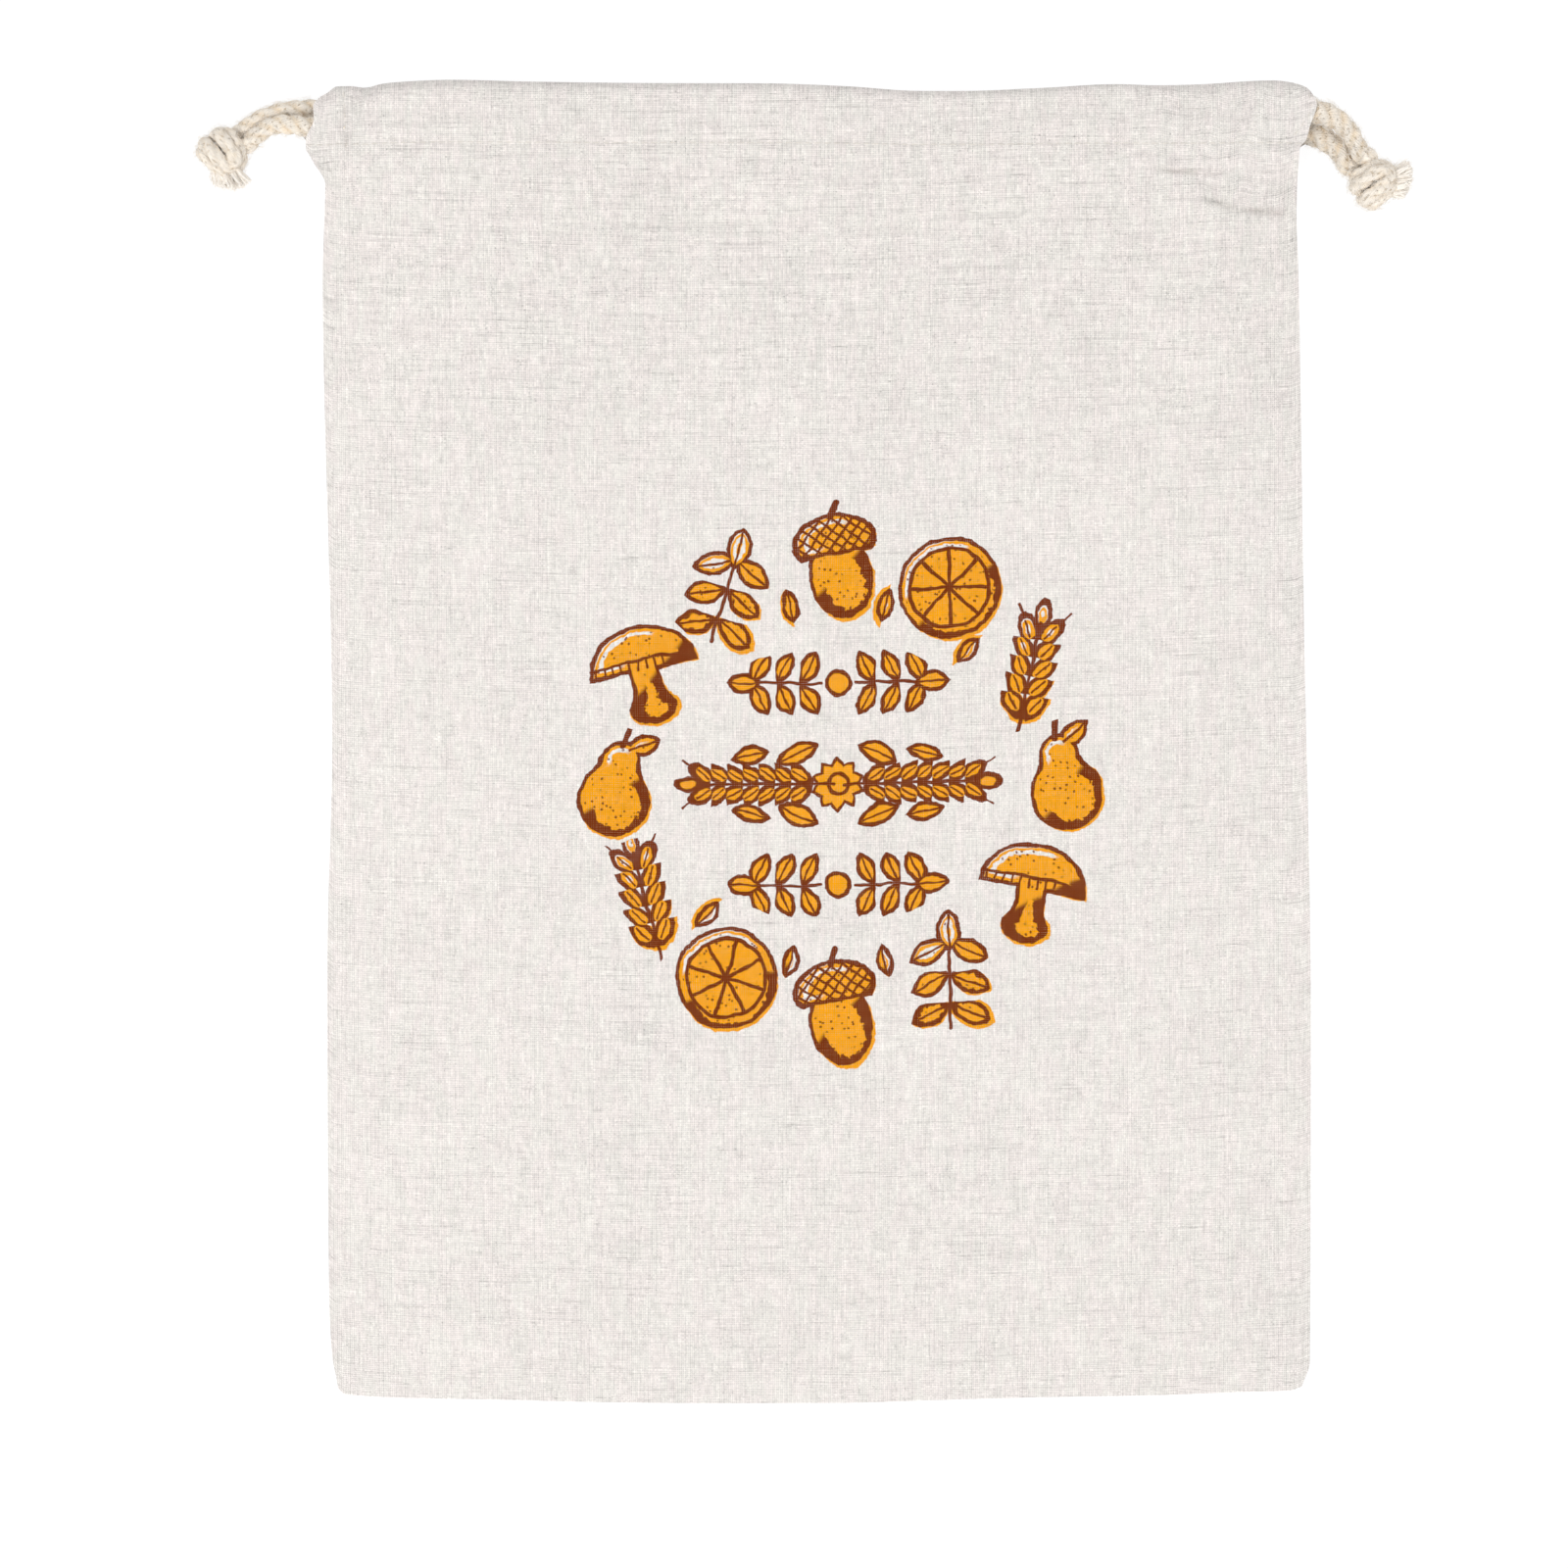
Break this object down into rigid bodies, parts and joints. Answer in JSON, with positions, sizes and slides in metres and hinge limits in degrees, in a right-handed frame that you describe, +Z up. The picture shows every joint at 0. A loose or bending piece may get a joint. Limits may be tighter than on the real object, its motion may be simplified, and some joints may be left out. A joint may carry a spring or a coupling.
{
  "type": "drawstring bag",
  "caption": "Flat linen drawstring bag for bread, lying empty on its back, with a folded casing at the mouth and cords knotted beyond its sides.",
  "frame": {"origin": "on the surface that the bag lies on, under the middle of the two panels' outline", "axes": "+Y towards the mouth, +Z up out of the printed front, +X towards the right side as seen from above"},
  "size_m": [0.3724, 0.4027, 0.0212],
  "materials": {
    "linen": "matt plain weave",
    "cotton_cord": "matt twisted cord"
  },
  "bodies": {
    "root": {"back_panel": "linen", "front_panel": "linen", "cord_right": "cotton_cord", "cord_left": "cotton_cord", "knot_right": "cotton_cord", "knot_left": "cotton_cord"}
  },
  "joints": []
}
